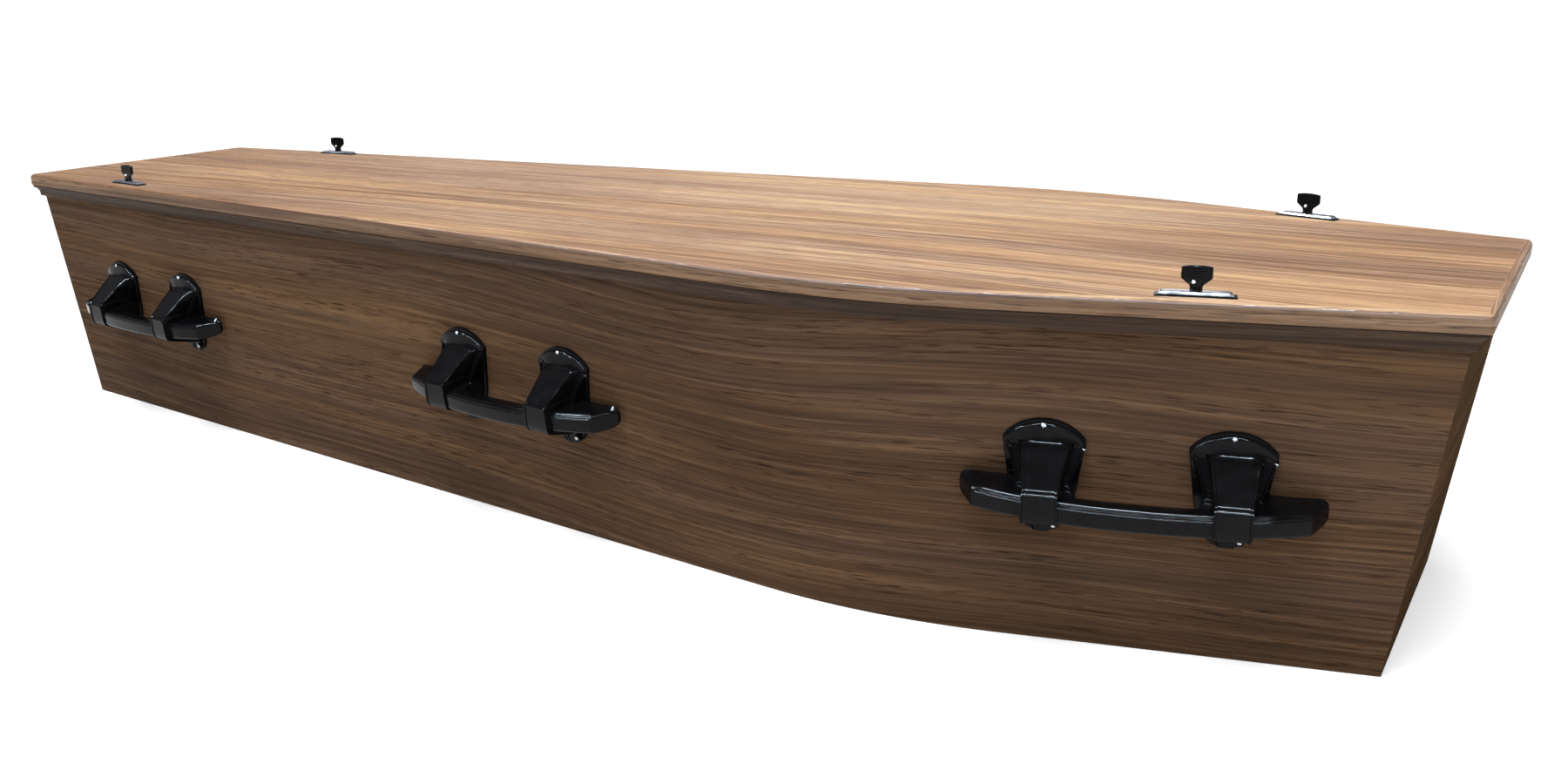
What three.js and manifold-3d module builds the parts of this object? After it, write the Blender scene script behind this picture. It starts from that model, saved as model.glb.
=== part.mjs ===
// A wooden coffin with a bent shoulder, a lift-off lid, six bar handles and four lid fasteners.
// Millimetres. +Z is up, +X runs from the foot end to the head end, the near side faces -Y.
// The origin is on the ground, under the middle of the lid.

import * as THREE from 'three';
import { mergeVertices } from 'three/addons/utils/BufferGeometryUtils.js';
import Module from 'manifold-3d';

const wasm = await Module();
wasm.setup();

// Driving dimensions of the box, measured on the outside of the boards
const BASE_LENGTH = 1830;
const FOOT_HALF_WIDTH = 142;
const SHOULDER_HALF_WIDTH = 265;
const HEAD_HALF_WIDTH = 148;
const SHOULDER_FROM_FOOT = 1390;
const BEND_RADIUS = 700;
const BEND_STEPS = 10;
const BOX_HEIGHT = 320;
const SIDE_SPLAY = 34.5;
const FOOT_SPLAY = 16;
const HEAD_SPLAY = 40;
const BOARD = 16;
const BASE_THICKNESS = 15;
const GAP = 0.3;
const SAME_POINT = 0.001;

// Lid and the strips below it
const LID_OVERHANG = 12;
const LID_THICKNESS = 16;
const LID_ROUNDING = 6;
const RIM_HEIGHT = 16;
const RIM_TOP_THICKNESS = 10;
const RIM_FOOT_THICKNESS = 5;
const RIM_CHAMFER = 1.5;

// Handles. Local axes: X along the board, Y up the board, Z away from it, from the top screws' line
const HANDLE_HEIGHT = 214;
const BRACKET_SPACING = 157;
const HANDLES_FROM_FOOT = { foot: 155, middle: 870 };
const HEAD_HANDLE_PAST_SHOULDER = 161;
const PLATE_THICKNESS = 5;
const PLATE_HALF_WIDTH = 36;
const PLATE_TOP = 8;
const PLATE_SHOULDER = -10.5;
const PLATE_WAIST = { half: 29, y: -62 };
const LOBE = { half: 21, height: 17, y: -84 };
const ARM_LEVELS = [
  { y: -86, back: 16, front: 12, reach: 9 },
  { y: -71, back: 19, front: 14, reach: 52 },
  { y: -42, back: 25, front: 13, reach: 54 },
  { y: -10, back: 34, front: 20, reach: 9 },
];
const ARM_SHIFT = 2;
const COLLAR = { halfWidth: 16.5, low: -71.5, high: -40.5, back: 30, front: 57, round: 8, bevel: 2 };
const BAR_SHIFT = 3;
const BAR_FRONT = 55.8;
const BAR_BOW = 22.2;
const BAR_BOW_POWER = 2.5;
const BAR_BOW_LENGTH = 146.5;
const BAR_LEVEL = -59;
const BAR_RISE = 2;
const BAR_HEIGHT = 20;
const BAR_DEPTH = 20;
const BAR_BEVEL = 4;
const BAR_FACET = { start: 139.5, end: 154, front: 9 };
const BAR_TIP = { start: 145.5, height: 8 };
const WING = { start: 50, full: 53, back: 6, rise: 3.5, low: 1, slopeStart: 12 };
const BAR_STATIONS = [0, 25, 50, 53, 75, 98, 119, 139.5, 145.5, 149.5, 152.5, 154];

// Lid fasteners. Local axes: X along the lid's edge, Z up from the lid
const FASTENER_INSET = 20;
const FASTENERS_FROM_FOOT = { foot: 209, head: 1665 };
const FASTENER_PLATE = { length: 66, width: 14, waist: 10, thickness: 2, bevel: 1 };
const TURN = { width: 25, neck: 12, foot: 9, shoulder: 9, neckTop: 5, top: 21, thickness: 4, bevel: 1 };
const BOSS = { radius: 6.5, height: 2.5 };

const LID_LENGTH = BASE_LENGTH + FOOT_SPLAY + HEAD_SPLAY + 2 * LID_OVERHANG;
const MIDDLE = LID_LENGTH / 2 - FOOT_SPLAY - LID_OVERHANG;

const wood = (name, color) => new THREE.MeshStandardMaterial({ name, color, roughness: 0.5, metalness: 0 });
const materials = {
  side: wood('walnut_side', 0x4e3524),
  lid: wood('walnut_lid', 0x8a6244),
  handle: new THREE.MeshStandardMaterial({ name: 'black_plastic', color: 0x0b0b0c, roughness: 0.35, metalness: 0 }),
  chrome: new THREE.MeshStandardMaterial({ name: 'chrome', color: 0xd4d6d8, roughness: 0.12, metalness: 1 }),
};

const part = new THREE.Group();
part.name = 'coffin';

// Plan of the box: two straight stretches on each side, joined by the bend of the shoulder

const footCorner = new THREE.Vector2(0, FOOT_HALF_WIDTH);
const shoulderCorner = new THREE.Vector2(SHOULDER_FROM_FOOT, SHOULDER_HALF_WIDTH);
const headCorner = new THREE.Vector2(BASE_LENGTH, HEAD_HALF_WIDTH);

const stretch = (from, to) => {
  const along = to.clone().sub(from).normalize();
  return { from, along, out: new THREE.Vector2(-along.y, along.x) };
};
const legStretch = stretch(footCorner, shoulderCorner);
const headStretch = stretch(shoulderCorner, headCorner);
const turn = legStretch.along.angle() - headStretch.along.angle();
const bendAngle = Math.abs(Math.atan2(Math.sin(turn), Math.cos(turn)));
const bendCentre = shoulderCorner.clone()
  .addScaledVector(legStretch.along, -BEND_RADIUS * Math.tan(bendAngle / 2))
  .addScaledVector(legStretch.out, -BEND_RADIUS);

// Half width of one straight stretch, pushed out by a distance, at a place along the box
function halfWidth({ from, along, out }, x, push) {
  const start = from.clone().addScaledVector(out, push);
  return start.y + along.y * (x - start.x) / along.x;
}

// Points of one side, foot to head, pushed out by a distance and cut square at both ends
function sideLine(push, footEnd, headEnd) {
  const points = [new THREE.Vector2(footEnd, halfWidth(legStretch, footEnd, push))];
  for (let i = 0; i <= BEND_STEPS; i++) {
    const out = legStretch.out.clone().rotateAround(new THREE.Vector2(), -bendAngle * i / BEND_STEPS);
    points.push(bendCentre.clone().addScaledVector(out, BEND_RADIUS + push));
  }
  points.push(new THREE.Vector2(headEnd, halfWidth(headStretch, headEnd, push)));
  return points;
}

const mirrored = (points) => points.map((p) => new THREE.Vector2(p.x, -p.y));
const reversed = (points) => [...points].reverse();

// How far each face of the box has moved out at a height
const splay = (z) => ({
  side: SIDE_SPLAY * z / BOX_HEIGHT,
  foot: -FOOT_SPLAY * z / BOX_HEIGHT,
  head: BASE_LENGTH + HEAD_SPLAY * z / BOX_HEIGHT,
});

// A solid whose outline changes from level to level, with the same number of points at each
function stack(levels) {
  const shape = new THREE.Shape(levels[0].points);
  const steps = levels.length - 1;
  const geometry = new THREE.ExtrudeGeometry(shape, { depth: steps, steps, bevelEnabled: false });
  const first = levels[0].points;
  const position = geometry.attributes.position;
  for (let i = 0; i < position.count; i++) {
    const level = levels[Math.round(position.getZ(i))];
    const here = new THREE.Vector2(position.getX(i), position.getY(i));
    const point = level.points[first.findIndex((p) => p.distanceTo(here) < SAME_POINT)];
    position.setXYZ(i, point.x, point.y, level.z);
  }
  geometry.computeVertexNormals();
  return geometry;
}

function addMesh(name, geometry, material, parent = part) {
  const mesh = new THREE.Mesh(geometry, material.clone());
  mesh.name = name;
  parent.add(mesh);
  return mesh;
}

// The box and the lid are drawn from the foot end, then moved so that the lid's middle is at the origin
const box = new THREE.Group();
box.position.x = -MIDDLE;
part.add(box);

// Boards of the box

function sideBoardLevel(z) {
  const { side, foot, head } = splay(z);
  const outer = sideLine(side, foot, head);
  const inner = sideLine(side - BOARD, foot, head);
  return { z, points: [...outer, ...reversed(inner)] };
}

function addSides() {
  const top = BOX_HEIGHT - GAP;
  const far = [sideBoardLevel(0), sideBoardLevel(top)];
  const near = far.map(({ z, points }) => ({ z, points: reversed(mirrored(points)) }));
  addMesh('side_board_near', stack(near), materials.side, box);
  addMesh('side_board_far', stack(far), materials.side, box);
}

// A board across the box, between two lines that stand off the sides by a distance
function crossBoard(heights, xRange, standOff) {
  const levels = heights.map((z) => {
    const [low, high] = xRange(z);
    const push = splay(z).side - standOff;
    const line = low < SHOULDER_FROM_FOOT / 2 ? legStretch : headStretch;
    const far = [low, high].map((x) => new THREE.Vector2(x, halfWidth(line, x, push)));
    return { z, points: [...reversed(far), ...mirrored(far)] };
  });
  return stack(levels);
}

function addEnds() {
  const heights = [0, BOX_HEIGHT - GAP];
  const footRange = (z) => [splay(z).foot, splay(z).foot + BOARD];
  const headRange = (z) => [splay(z).head - BOARD, splay(z).head];
  addMesh('foot_board', crossBoard(heights, footRange, BOARD + GAP), materials.side, box);
  addMesh('head_board', crossBoard(heights, headRange, BOARD + GAP), materials.side, box);
}

function addBase() {
  const levels = [0, BASE_THICKNESS].map((z) => {
    const { side, foot, head } = splay(z);
    const far = sideLine(side - BOARD - GAP, foot + BOARD + GAP, head - BOARD - GAP);
    return { z, points: [...reversed(far), ...mirrored(far)] };
  });
  addMesh('base_board', stack(levels), materials.side, box);
}

// Strips round the top of the box, thinner and chamfered below

const rimLevels = [
  { z: BOX_HEIGHT - RIM_HEIGHT, thickness: RIM_FOOT_THICKNESS - RIM_CHAMFER },
  { z: BOX_HEIGHT - RIM_HEIGHT + RIM_CHAMFER, thickness: RIM_FOOT_THICKNESS },
  { z: BOX_HEIGHT - GAP, thickness: RIM_TOP_THICKNESS },
];

function addRims() {
  const far = rimLevels.map(({ z, thickness }) => {
    const { side, foot, head } = splay(z);
    const outer = sideLine(side + thickness, foot - thickness, head + thickness);
    const inner = sideLine(side + GAP, foot - thickness, head + thickness);
    return { z, points: [...outer, ...reversed(inner)] };
  });
  const near = far.map(({ z, points }) => ({ z, points: reversed(mirrored(points)) }));
  addMesh('rim_near', stack(near), materials.side, box);
  addMesh('rim_far', stack(far), materials.side, box);

  const thicknessAt = (z) => rimLevels.find((level) => level.z === z).thickness;
  const heights = rimLevels.map(({ z }) => z);
  const footRange = (z) => [splay(z).foot - thicknessAt(z), splay(z).foot - GAP];
  const headRange = (z) => [splay(z).head + GAP, splay(z).head + thicknessAt(z)];
  addMesh('rim_foot', crossBoard(heights, footRange, 0), materials.side, box);
  addMesh('rim_head', crossBoard(heights, headRange, 0), materials.side, box);
}

// Lid with a quarter round along its top edge

function lidLevel(inset, z) {
  const push = SIDE_SPLAY + LID_OVERHANG - inset;
  const foot = -FOOT_SPLAY - LID_OVERHANG + inset;
  const head = BASE_LENGTH + HEAD_SPLAY + LID_OVERHANG - inset;
  const far = sideLine(push, foot, head);
  return { z, points: [...reversed(far), ...mirrored(far)] };
}

function addLid() {
  const roundSteps = 3;
  const levels = [lidLevel(0, BOX_HEIGHT)];
  for (let i = 0; i <= roundSteps; i++) {
    const angle = Math.PI / 2 * i / roundSteps;
    const inset = LID_ROUNDING * (1 - Math.cos(angle));
    const drop = LID_ROUNDING * (1 - Math.sin(angle));
    levels.push(lidLevel(inset, BOX_HEIGHT + LID_THICKNESS - drop));
  }
  addMesh('lid_board', stack(levels), materials.lid, box);
}

// Joining and cutting of closed meshes

function toSolid(geometry) {
  const bare = geometry.clone();
  bare.deleteAttribute('normal');
  bare.deleteAttribute('uv');
  const merged = mergeVertices(bare, 1e-4);
  const mesh = new wasm.Mesh({
    numProp: 3,
    vertProperties: new Float32Array(merged.attributes.position.array),
    triVerts: new Uint32Array(merged.index.array),
  });
  return new wasm.Manifold(mesh);
}

function toGeometry(solid) {
  const mesh = solid.getMesh();
  const geometry = new THREE.BufferGeometry();
  geometry.setAttribute('position', new THREE.BufferAttribute(mesh.vertProperties, mesh.numProp));
  geometry.setIndex(new THREE.BufferAttribute(mesh.triVerts, 1));
  geometry.computeVertexNormals();
  return geometry;
}

// Handle bar: bowed away from the board, with a wing behind each end and a facet that ends in a rounded tip

function barFront(x) {
  const bowed = (at) => BAR_FRONT - BAR_BOW * (at / BAR_BOW_LENGTH) ** BAR_BOW_POWER;
  const { start, end, front } = BAR_FACET;
  if (x <= start) return bowed(x);
  return bowed(start) + (front - bowed(start)) * (x - start) / (end - start);
}

function barHalfHeight(x) {
  const full = BAR_HEIGHT / 2;
  const tip = BAR_TIP.height / 2;
  const past = Math.max(x - BAR_TIP.start, 0) / (BAR_FACET.end - BAR_TIP.start);
  return tip + (full - tip) * Math.sqrt(Math.max(1 - past ** 2, 0));
}

// Section across the bar at a distance from its middle: distance from the board, then height
function barSection(x, grow) {
  const level = BAR_LEVEL + BAR_RISE * (x / BAR_BOW_LENGTH) ** 2;
  const half = barHalfHeight(x);
  const [low, high] = [level - half - grow, level + half + grow];
  const front = barFront(x) + grow;
  const share = Math.min(Math.max((x - WING.start) / (WING.full - WING.start), 0), 1);
  const mixed = (plain, winged) => plain + (winged - plain) * share;
  const gripBack = front - BAR_DEPTH - 2 * grow;
  const back = mixed(gripBack, WING.back - grow);
  const depth = front - back;
  const tallness = 2 * half / BAR_HEIGHT;
  const bevel = Math.min(BAR_BEVEL * tallness, depth / 4);
  const rise = mixed(0, WING.rise * tallness ** 2);
  const wingLow = mixed(0, WING.low);
  const slopeStart = front - Math.min(WING.slopeStart, depth / 2);
  const soft = bevel * (1 - Math.SQRT1_2);
  const points = [
    [front - bevel, low], [front - soft, low + soft], [front, low + bevel],
    [front, high - bevel], [front - soft, high - soft], [front - bevel, high],
    [slopeStart, high], [back + bevel / 2, high + rise], [back, high + rise - bevel / 2],
    [back, low + wingLow + bevel / 2], [back + bevel / 2, low + wingLow],
  ];
  return points.map(([v, w]) => new THREE.Vector2(v, w));
}

function barSolid(grow = 0) {
  const levels = [];
  for (const side of [-1, 1]) {
    const stations = side < 0 ? reversed(BAR_STATIONS) : BAR_STATIONS.slice(1);
    for (const station of stations) {
      const end = station === BAR_FACET.end ? grow : 0;
      levels.push({ z: side * (station + end), points: barSection(station, grow) });
    }
  }
  return toSolid(stack(levels).rotateY(-Math.PI / 2));
}

// Bracket: a fan shaped back plate with a lobe below, an arm that slopes out, and a collar round the bar

function platePoints() {
  const rise = PLATE_TOP - PLATE_SHOULDER;
  const radius = (PLATE_HALF_WIDTH ** 2 + rise ** 2) / (2 * rise);
  const half = Math.asin(PLATE_HALF_WIDTH / radius);
  const shape = new THREE.Shape();
  shape.moveTo(-PLATE_WAIST.half, PLATE_WAIST.y);
  shape.lineTo(-LOBE.half, LOBE.y);
  shape.absellipse(0, LOBE.y, LOBE.half, LOBE.height, Math.PI, 2 * Math.PI, false);
  shape.lineTo(PLATE_WAIST.half, PLATE_WAIST.y);
  shape.absarc(0, PLATE_TOP - radius, radius, Math.PI / 2 - half, Math.PI / 2 + half, false);
  shape.closePath();
  return shape;
}

function plateGeometry() {
  return new THREE.ExtrudeGeometry(platePoints(), {
    depth: PLATE_THICKNESS,
    bevelEnabled: false,
    curveSegments: 6,
  });
}

function armGeometry() {
  const inPlate = PLATE_THICKNESS / 2;
  const levels = ARM_LEVELS.map(({ y, back, front, reach }) => ({
    z: y,
    points: [
      new THREE.Vector2(back, -inPlate),
      new THREE.Vector2(-back, -inPlate),
      new THREE.Vector2(-front, -reach),
      new THREE.Vector2(front, -reach),
    ],
  }));
  return stack(levels).rotateX(-Math.PI / 2);
}

function collarGeometry() {
  const { halfWidth: half, low, high, back, front, round, bevel } = COLLAR;
  const inset = bevel;
  const shape = new THREE.Shape();
  shape.moveTo(back + inset, low + inset);
  shape.lineTo(front - round, low + inset);
  shape.quadraticCurveTo(front - inset, low + inset, front - inset, low + round);
  shape.lineTo(front - inset, high - round);
  shape.quadraticCurveTo(front - inset, high - inset, front - round, high - inset);
  shape.lineTo(back + inset, high - inset);
  shape.closePath();
  const geometry = new THREE.ExtrudeGeometry(shape, {
    depth: 2 * (half - bevel),
    bevelEnabled: true,
    bevelThickness: bevel,
    bevelSize: bevel,
    bevelSegments: 1,
    curveSegments: 2,
  });
  geometry.translate(0, 0, bevel - half);
  geometry.rotateY(-Math.PI / 2);
  return geometry;
}

// The arm and the bar stand a little nearer the head than the plates do: hand is 1 where that is local +X
function bracketGeometry(place, hand) {
  const tunnel = barSolid(GAP).translate([hand * BAR_SHIFT - place, 0, 0]);
  const arm = toSolid(armGeometry())
    .add(toSolid(collarGeometry()))
    .translate([hand * ARM_SHIFT, 0, 0]);
  return toGeometry(toSolid(plateGeometry()).add(arm).subtract(tunnel));
}

// Places a handle on a board: its local Y goes up the leaning board and its local Z away from it
function handleFrame(line, distance) {
  const lean = Math.atan2(SIDE_SPLAY, BOX_HEIGHT);
  const push = splay(HANDLE_HEIGHT).side;
  const place = line.from.clone().addScaledVector(line.out, push).addScaledVector(line.along, distance);
  const along = new THREE.Vector3(line.along.x, -line.along.y, 0);
  const out = new THREE.Vector3(line.out.x, -line.out.y, 0).multiplyScalar(Math.cos(lean));
  out.z = -Math.sin(lean);
  const up = new THREE.Vector3().crossVectors(out, along);
  const stand = new THREE.Vector3(place.x - MIDDLE, -place.y, HANDLE_HEIGHT).addScaledVector(out, GAP);
  return new THREE.Matrix4().makeBasis(along, up, out).setPosition(stand);
}

function addHandles() {
  const half = BRACKET_SPACING / 2;
  const places = {
    foot: [legStretch, HANDLES_FROM_FOOT.foot + half],
    middle: [legStretch, HANDLES_FROM_FOOT.middle + half],
    head: [headStretch, HEAD_HANDLE_PAST_SHOULDER + half],
  };
  const bar = toGeometry(barSolid());
  const bracketPlaces = [-half, half];
  const brackets = {
    near: bracketPlaces.map((place) => bracketGeometry(place, 1)),
    far: bracketPlaces.map((place) => bracketGeometry(place, -1)),
  };
  const mirror = new THREE.Matrix4().makeScale(1, -1, 1);
  const flip = new THREE.Matrix4().makeScale(-1, 1, 1);
  for (const [place, [line, distance]] of Object.entries(places)) {
    const near = handleFrame(line, distance);
    const far = mirror.clone().multiply(near).multiply(flip);
    for (const [side, matrix] of [['near', near], ['far', far]]) {
      const handle = new THREE.Group();
      handle.applyMatrix4(matrix);
      part.add(handle);
      const barMesh = addMesh(`handle_${side}_${place}_bar`, bar, materials.handle, handle);
      barMesh.position.x = side === 'near' ? BAR_SHIFT : -BAR_SHIFT;
      brackets[side].forEach((bracket, i) => {
        const mesh = addMesh(`handle_${side}_${place}_bracket_${i + 1}`, bracket, materials.handle, handle);
        mesh.position.x = bracketPlaces[i];
      });
    }
  }
}

// Lid fasteners: a waisted plate on the lid, and a thumb turn with a boss that stands on it

function fastenerPlateGeometry() {
  const { length, width, waist, thickness, bevel } = FASTENER_PLATE;
  const x = length / 2 - bevel;
  const y = width / 2 - bevel;
  const shape = new THREE.Shape();
  shape.moveTo(-x, -y);
  shape.quadraticCurveTo(0, -waist / 2, x, -y);
  shape.lineTo(x, y);
  shape.quadraticCurveTo(0, waist / 2, -x, y);
  shape.closePath();
  const geometry = new THREE.ExtrudeGeometry(shape, {
    depth: thickness,
    bevelEnabled: true,
    bevelThickness: bevel,
    bevelSize: bevel,
    bevelSegments: 1,
    curveSegments: 4,
  });
  return geometry.translate(0, 0, bevel);
}

function turnGeometry() {
  const { width, neck, foot, shoulder, neckTop, top, thickness, bevel } = TURN;
  const half = width / 2 - bevel;
  const shape = new THREE.Shape();
  shape.moveTo(-foot / 2, bevel);
  shape.lineTo(foot / 2, bevel);
  shape.lineTo(neck / 2, neckTop);
  shape.lineTo(half, shoulder);
  shape.lineTo(half, top - 2 * bevel);
  shape.quadraticCurveTo(0, top, -half, top - 2 * bevel);
  shape.lineTo(-half, shoulder);
  shape.lineTo(-neck / 2, neckTop);
  shape.closePath();
  const paddle = new THREE.ExtrudeGeometry(shape, {
    depth: thickness - 2 * bevel,
    bevelEnabled: true,
    bevelThickness: bevel,
    bevelSize: bevel,
    bevelSegments: 2,
    curveSegments: 6,
  });
  paddle.translate(0, 0, bevel - thickness / 2);
  paddle.rotateX(Math.PI / 2);
  const boss = new THREE.CylinderGeometry(BOSS.radius, BOSS.radius, BOSS.height, 20);
  boss.rotateX(Math.PI / 2);
  boss.translate(0, 0, BOSS.height / 2);
  return toGeometry(toSolid(paddle).add(toSolid(boss)));
}

function addFasteners() {
  const plate = fastenerPlateGeometry();
  const turnPiece = turnGeometry();
  const push = SIDE_SPLAY + LID_OVERHANG - FASTENER_INSET;
  const lines = { foot: legStretch, head: headStretch };
  const stand = BOX_HEIGHT + LID_THICKNESS + GAP;
  const plateTop = FASTENER_PLATE.thickness + 2 * FASTENER_PLATE.bevel;
  for (const [place, line] of Object.entries(lines)) {
    const x = FASTENERS_FROM_FOOT[place];
    const y = halfWidth(line, x, push);
    for (const [side, sign] of [['near', -1], ['far', 1]]) {
      const fastener = new THREE.Group();
      fastener.position.set(x - MIDDLE, sign * y, stand);
      fastener.rotation.z = sign * Math.atan2(line.along.y, line.along.x);
      part.add(fastener);
      addMesh(`fastener_${side}_${place}_plate`, plate, materials.chrome, fastener);
      const mesh = addMesh(`fastener_${side}_${place}_turn`, turnPiece, materials.handle, fastener);
      mesh.position.z = plateTop + GAP;
    }
  }
}

addSides();
addEnds();
addBase();
addRims();
addLid();
addHandles();
addFasteners();

export default part;
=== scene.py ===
"""A wooden coffin with a bent shoulder, a lift-off lid, bar handles and lid fasteners, dressed in metres."""
import math
import bmesh
import bpy
from mathutils import Matrix, Vector


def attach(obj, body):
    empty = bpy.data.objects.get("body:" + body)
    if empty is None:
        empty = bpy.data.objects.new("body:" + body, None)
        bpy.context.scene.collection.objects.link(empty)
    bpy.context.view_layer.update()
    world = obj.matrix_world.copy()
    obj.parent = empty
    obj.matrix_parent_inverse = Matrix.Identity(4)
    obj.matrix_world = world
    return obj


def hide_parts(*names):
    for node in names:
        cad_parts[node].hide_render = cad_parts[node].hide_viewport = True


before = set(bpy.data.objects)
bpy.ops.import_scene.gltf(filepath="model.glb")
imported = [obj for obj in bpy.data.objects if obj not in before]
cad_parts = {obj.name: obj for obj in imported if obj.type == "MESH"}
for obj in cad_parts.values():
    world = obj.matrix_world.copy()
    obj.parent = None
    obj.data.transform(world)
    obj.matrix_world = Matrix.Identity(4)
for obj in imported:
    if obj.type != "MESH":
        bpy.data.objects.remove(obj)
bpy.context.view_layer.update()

# The photograph's camera, in metres and degrees, from a fit to the coffin's outline
PHOTO_WIDTH, PHOTO_HEIGHT = 1800, 900
FOCAL_PX = 1606.3
PRINCIPAL_PX = (859.2, 459.8)
CAMERA_PLACE = (1.0279, -1.3629, 0.5912)
CAMERA_YAW = 32.39
CAMERA_PITCH = -16.78
CAMERA_ROLL = -1.01
SENSOR_WIDTH = 36.0
CLIP_START = 0.01

# Sizes of the box and the lid, as the CAD model has them, and how finely their curves are stepped
BASE_LENGTH = 1.830
FOOT_HALF_WIDTH = 0.142
SHOULDER_HALF_WIDTH = 0.265
HEAD_HALF_WIDTH = 0.148
SHOULDER_FROM_FOOT = 1.390
BEND_RADIUS = 0.700
BEND_STEPS = 40
BOX_HEIGHT = 0.320
SIDE_SPLAY = 0.0345
FOOT_SPLAY = 0.016
HEAD_SPLAY = 0.040
BOARD = 0.016
GAP = 0.0003
LID_OVERHANG = 0.012
LID_THICKNESS = 0.016
LID_ROUNDING = 0.006
RIM_HEIGHT = 0.016
RIM_TOP_THICKNESS = 0.010
RIM_FOOT_THICKNESS = 0.005
MIDDLE = (BASE_LENGTH + FOOT_SPLAY + HEAD_SPLAY) / 2 - FOOT_SPLAY
RIM_CHAMFER = 0.0015
RIM_LIP = 0.003
COVE_DEPTH = 0.0042
COVE_STEPS = 6
BOARD_EDGE = 0.0012
LID_CORNER = 0.005
LID_SMALLEST_CORNER = 0.0005
LID_LOWER_EDGE = 0.001
CORNER_STEPS = 6
ROUNDING_STEPS = 10
VENEER_ROWS = 6
STRIP_END_GRAIN = 0.4
LID_EDGE_GRAIN = 2.0

# Handles, as the CAD model has them, with their reeds and screws
HANDLE_HEIGHT = 0.214
BRACKET_SPACING = 0.157
HANDLES_FROM_FOOT = (0.155, 0.870)
HEAD_HANDLE_PAST_SHOULDER = 0.161
PLATE_HALF_WIDTH = 0.036
PLATE_TOP = 0.008
PLATE_SHOULDER = -0.0105
PLATE_WAIST = (0.029, -0.062)
LOBE_HALF = 0.021
LOBE_HEIGHT = 0.017
LOBE_LEVEL = -0.084
ARM_SHIFT = 0.002
BAR_SHIFT = 0.003
BAR_FRONT = 0.0558
BAR_BOW = 0.0222
BAR_BOW_POWER = 2.5
BAR_BOW_LENGTH = 0.1465
BAR_LEVEL = -0.059
BAR_RISE = 0.002
BAR_HALF_HEIGHT = 0.010
BAR_DEPTH = 0.020
FACET_START = 0.1395
BAR_END = 0.154
FACET_FRONT = 0.009
TIP_START = 0.1455
TIP_HALF_HEIGHT = 0.004
BAR_CORNER = 0.004
BAR_ROUNDING = 0.0055
REEDS = 3
REED_DEPTH = 0.00055
REEDS_START, REEDS_END = 0.14, 0.94
REEDS_FADE = 0.004
WING_START = 0.050
WING_FULL = 0.054
WING_BACK = 0.006
WING_RISE = 0.0035
WING_LOW = 0.001
WING_SLOPE_START = 0.012
SCREW_RADIUS = 0.0022
SCREW_HEIGHT = 0.0011
SCREW_RIM = 0.0003
RECESS_ARM = 0.00045
RECESS_REACH = 0.0019
RECESS_DEPTH = 0.0007
TOP_SCREW = (-0.0004, 0.0037, 0.0074)
LOWER_SCREW = (0.0110, -0.0925, 0.0078)
SCREW_BOSS = (0.0044, 0.0050)

# Lid fasteners, as the CAD model has them, with their ridges and pins
FASTENER_INSET = 0.020
FASTENERS_FROM_FOOT = (0.209, 1.665)
PLATE_LENGTH = 0.066
FASTENER_WIDTH = 0.014
FASTENER_WAIST = 0.013
PLATE_HEIGHT = 0.004
TURN_WIDTH = 0.025
TURN_NECK = 0.012
TURN_FOOT = 0.009
TURN_SHOULDER = 0.009
TURN_NECK_TOP = 0.005
TURN_TOP = 0.0208
TURN_THICKNESS = 0.004
TURN_MIDDLE = 0.0135
TURN_CORNER = 0.0016
TURN_CROWN = 0.0010
TURN_RIDGES = 4
TURN_RIDGE_HALF = 0.0076
TURN_RIDGE_SIZE = 0.0006
TURN_RIDGE_FIRST = 0.0112
TURN_RIDGE_STEP = 0.0023
PLATE_END_SLOPE = 3.0
PIN_RADIUS = 0.0018
PIN_HEIGHT = 0.0010
PIN_PLACE = (-0.0022, 0.0072)
PADDLE_LIFT = 0.0002


# Small helpers for shader nodes

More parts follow.
